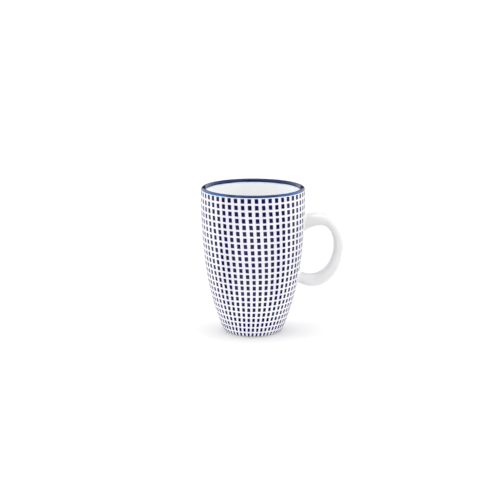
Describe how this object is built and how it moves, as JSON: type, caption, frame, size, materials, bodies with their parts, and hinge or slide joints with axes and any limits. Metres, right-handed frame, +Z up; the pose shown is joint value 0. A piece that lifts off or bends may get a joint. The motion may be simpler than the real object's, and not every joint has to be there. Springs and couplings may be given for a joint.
{
  "type": "mug",
  "caption": "Tall tapering stoneware mug with an oval ring handle, a cobalt lip band and a wrapping grid of small blue squares.",
  "frame": {"origin": "centre of the flat foot, on the cup's axis, at the height of the table", "axes": "+Z up along the cup's axis, +X towards the handle, -Y towards the front of the cup"},
  "size_m": [0.1176, 0.0852, 0.121],
  "materials": {
    "bare_clay": "dry matt stoneware",
    "white_glaze": "glossy white glaze",
    "cobalt_band": "glossy cobalt glaze, paler where it thins",
    "blue_ink": "glossy fired-on indigo print"
  },
  "bodies": {
    "root": {"cup_body": "bare_clay", "foot_ring": "bare_clay", "outer_glaze": "white_glaze", "inner_glaze": "white_glaze", "base_glaze": "white_glaze", "rim_band": "cobalt_band", "handle": "bare_clay", "handle_glaze": "white_glaze", "upper_handle_joint": "bare_clay", "lower_handle_joint": "bare_clay", "square_row_01": "blue_ink", "square_row_02": "blue_ink", "square_row_03": "blue_ink", "square_row_04": "blue_ink", "square_row_05": "blue_ink", "square_row_06": "blue_ink", "square_row_07": "blue_ink", "square_row_08": "blue_ink", "square_row_09": "blue_ink", "square_row_10": "blue_ink", "square_row_11": "blue_ink", "square_row_12": "blue_ink", "square_row_13": "blue_ink", "square_row_14": "blue_ink", "square_row_15": "blue_ink", "square_row_16": "blue_ink", "square_row_17": "blue_ink", "square_row_18": "blue_ink", "square_row_19": "blue_ink", "square_row_20": "blue_ink", "square_row_21": "blue_ink", "square_row_22": "blue_ink", "square_row_23": "blue_ink", "square_row_24": "blue_ink"}
  },
  "joints": []
}
